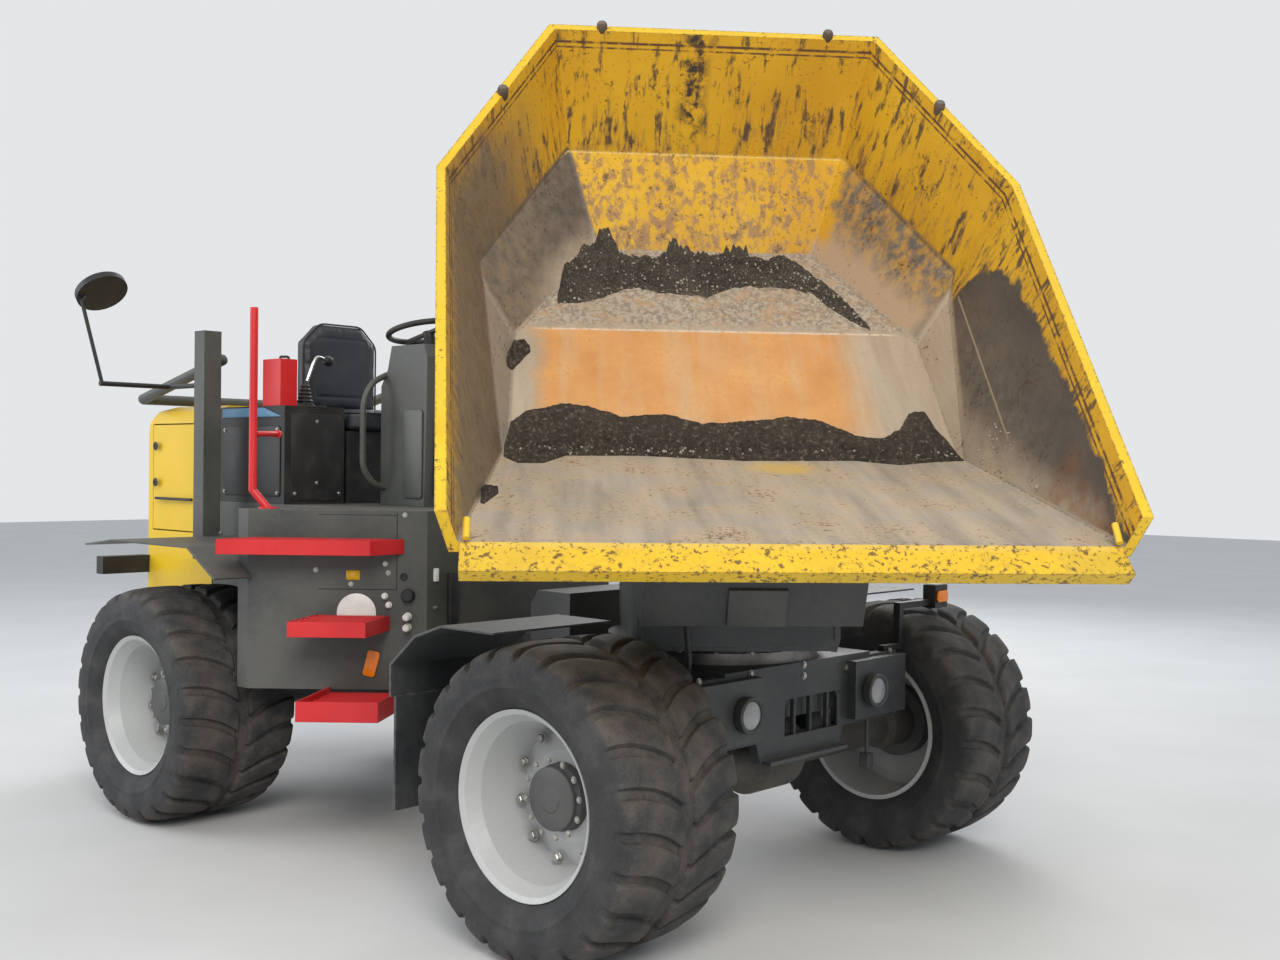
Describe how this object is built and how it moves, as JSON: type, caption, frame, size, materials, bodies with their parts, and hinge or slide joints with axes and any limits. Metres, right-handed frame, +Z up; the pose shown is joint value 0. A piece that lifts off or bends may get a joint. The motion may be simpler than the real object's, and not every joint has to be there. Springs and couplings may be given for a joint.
{
  "type": "site dumper",
  "caption": "Articulated site dumper with an open operator station, folding roll bar and a swivelling skip, shown tipped and turned to one side.",
  "frame": {"origin": "middle of the footprint, on the ground", "axes": "+X forward along the machine, +Y to its left, +Z up"},
  "size_m": [5.3922, 3.1114, 3.3874],
  "materials": {
    "tyre_rubber": "worn matt",
    "rim_silver": "silver paint, satin",
    "hub_grey": "grey paint, satin",
    "grey_paint": "dark grey paint, satin",
    "axle_paint": "dark grey paint, dusty",
    "console_grey": "grey paint, satin",
    "yellow_paint": "yellow paint, semi-gloss",
    "skip_yellow": "yellow paint, scratched and worn",
    "red_paint": "red paint, semi-gloss",
    "black_plastic": "matt",
    "seat_vinyl": "matt vinyl",
    "bearing_steel": "greased",
    "rod_chrome": "polished",
    "engine_iron": "painted casting",
    "plate_yellow": "reflective sheet, blank"
  },
  "bodies": {
    "rear_frame": {"rear_chassis": "grey_paint", "deck": "grey_paint", "steps": "red_paint", "rear_fenders": "grey_paint", "engine_block": "engine_iron", "rear_bumper": "grey_paint", "tail_lamps": "black_plastic", "rear_axle": "grey_paint", "rops_posts": "grey_paint", "hood": "yellow_paint", "console": "console_grey", "controls": "black_plastic", "seat_base": "black_plastic", "seat_cushion": "seat_vinyl", "seat_back": "seat_vinyl", "handrails": "red_paint", "red_box": "red_paint", "side_tank": "black_plastic", "mirror": "black_plastic"},
    "hood_door": {"hood_door": "yellow_paint"},
    "rops_hoop": {"rops_hoop": "grey_paint"},
    "front_frame": {"front_chassis": "grey_paint", "front_axle": "axle_paint", "front_fenders": "black_plastic", "front_lamps": "black_plastic", "slew_ring": "bearing_steel"},
    "turntable": {"turntable": "grey_paint", "number_plate": "plate_yellow"},
    "skip": {"skip": "skip_yellow"},
    "tip_barrel": {"tip_barrel": "grey_paint"},
    "tip_rod": {"tip_rod": "rod_chrome"},
    "steer_barrel": {"steer_barrel": "grey_paint"},
    "steer_rod": {"steer_rod": "rod_chrome"},
    "wheel_front_right": {"tyre_front_right": "tyre_rubber", "rim_front_right": "rim_silver", "hub_front_right": "hub_grey"},
    "wheel_front_left": {"tyre_front_left": "tyre_rubber", "rim_front_left": "rim_silver", "hub_front_left": "hub_grey"},
    "wheel_rear_right": {"tyre_rear_right": "tyre_rubber", "rim_rear_right": "rim_silver", "hub_rear_right": "hub_grey"},
    "wheel_rear_left": {"tyre_rear_left": "tyre_rubber", "rim_rear_left": "rim_silver", "hub_rear_left": "hub_grey"}
  },
  "joints": [
    {"name": "steer", "type": "hinge", "parent": "rear_frame", "child": "front_frame", "pos_m": [-0.131, 0.296, 0.8], "axis": [0, 0, 1], "range_deg": [-33, 33]},
    {"name": "swivel", "type": "hinge", "parent": "front_frame", "child": "turntable", "pos_m": [0.799, 0.296, 0.925], "axis": [0, 0, 1], "range_deg": [-47.8, 132.2]},
    {"name": "tip", "type": "hinge", "parent": "turntable", "child": "skip", "pos_m": [1.36201, -0.21451, 1.5], "axis": [-0.6717, -0.7408, 0], "range_deg": [0, 43]},
    {"name": "tip_barrel_swing", "type": "hinge", "parent": "turntable", "child": "tip_barrel", "pos_m": [0.56194, 0.51095, 1.085], "axis": [0.6717, 0.7408, 0], "range_deg": [0, 26.2]},
    {"name": "tip_rod_slide", "type": "slide", "parent": "tip_barrel", "child": "tip_rod", "axis": [0.4957, -0.4495, 0.7431], "range_m": [-0.2495, 0]},
    {"name": "steer_barrel_swing", "type": "hinge", "parent": "rear_frame", "child": "steer_barrel", "pos_m": [-0.481, 0.056, 0.505], "axis": [0, 0, 1], "range_deg": [-15, 15]},
    {"name": "steer_rod_slide", "type": "slide", "parent": "steer_barrel", "child": "steer_rod", "axis": [0.9988, -0.0483, 0], "range_m": [-0.1465, 0.1465]},
    {"name": "rops_fold", "type": "hinge", "parent": "rear_frame", "child": "rops_hoop", "pos_m": [-1.751, 0.296, 2.085], "axis": [0, 1, 0], "range_deg": [0, 102.5]},
    {"name": "hood_door_hinge", "type": "hinge", "parent": "rear_frame", "child": "hood_door", "pos_m": [-2.068, -0.3123, 1.51], "axis": [0, 0, 1], "range_deg": [0, 100]},
    {"name": "wheel_spin_front_right", "type": "hinge", "parent": "front_frame", "child": "wheel_front_right", "pos_m": [1.019, -0.689, 0.517], "axis": [0, 1, 0], "continuous": true},
    {"name": "wheel_spin_front_left", "type": "hinge", "parent": "front_frame", "child": "wheel_front_left", "pos_m": [1.019, 1.281, 0.517], "axis": [0, 1, 0], "continuous": true},
    {"name": "wheel_spin_rear_right", "type": "hinge", "parent": "rear_frame", "child": "wheel_rear_right", "pos_m": [-1.505, -0.689, 0.517], "axis": [0, 1, 0], "continuous": true},
    {"name": "wheel_spin_rear_left", "type": "hinge", "parent": "rear_frame", "child": "wheel_rear_left", "pos_m": [-1.505, 1.281, 0.517], "axis": [0, 1, 0], "continuous": true}
  ],
  "couplings": [
    {"joint": "tip_barrel_swing", "follows": "tip", "ratio": 0.60535},
    {"joint": "tip_rod_slide", "follows": "tip", "m_per_rad": -0.33098},
    {"joint": "steer_barrel_swing", "follows": "steer", "ratio": 0.4514},
    {"joint": "steer_rod_slide", "follows": "steer", "m_per_rad": 0.253}
  ]
}
